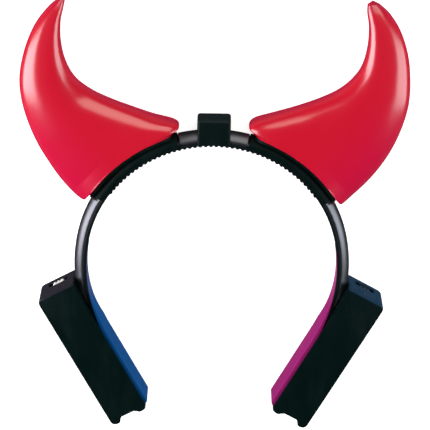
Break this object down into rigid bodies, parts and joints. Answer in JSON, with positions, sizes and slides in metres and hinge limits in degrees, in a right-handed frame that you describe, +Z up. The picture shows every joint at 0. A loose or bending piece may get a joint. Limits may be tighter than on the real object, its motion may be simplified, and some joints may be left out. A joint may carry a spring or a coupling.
{
  "type": "light-up horn headband",
  "caption": "C-shaped plastic headband with hollow curved horns on saddles, a wire channel, a centre block and a tilted battery case at each end",
  "frame": {"origin": "middle of the bounding box in X and Y, at its underside, with the band lying on its back", "axes": "+X across the band to its right side as seen from the front, +Y from the battery cases to the horn tips, +Z up, out of the band's front"},
  "size_m": [0.1756, 0.2083, 0.0169],
  "materials": {
    "gloss black plastic": "gloss",
    "gloss black channel": "high gloss",
    "matte black plastic": "matte",
    "case black plastic": "satin",
    "red horn plastic": "gloss",
    "blue pad": "satin",
    "magenta pad": "satin",
    "white knob": "gloss",
    "grey knob": "gloss"
  },
  "bodies": {
    "band": {"headband": "gloss black plastic", "centre_block": "matte black plastic", "wire_channel": "gloss black channel", "left_battery_case": "case black plastic", "left_temple_pad": "blue pad", "left_horn_saddle": "matte black plastic", "left_horn": "red horn plastic", "right_battery_case": "case black plastic", "right_temple_pad": "magenta pad", "right_horn_saddle": "matte black plastic", "right_horn": "red horn plastic"},
    "left_switch": {"left_switch_knob": "white knob"},
    "right_switch": {"right_switch_knob": "grey knob"}
  },
  "joints": [
    {"name": "left_switch_slide", "type": "slide", "parent": "band", "child": "left_switch", "axis": [-0.8763, -0.4818, 0], "range_m": [-0.0016, 0.0016]},
    {"name": "right_switch_slide", "type": "slide", "parent": "band", "child": "right_switch", "axis": [0.8763, -0.4818, 0], "range_m": [-0.0016, 0.0016]}
  ]
}
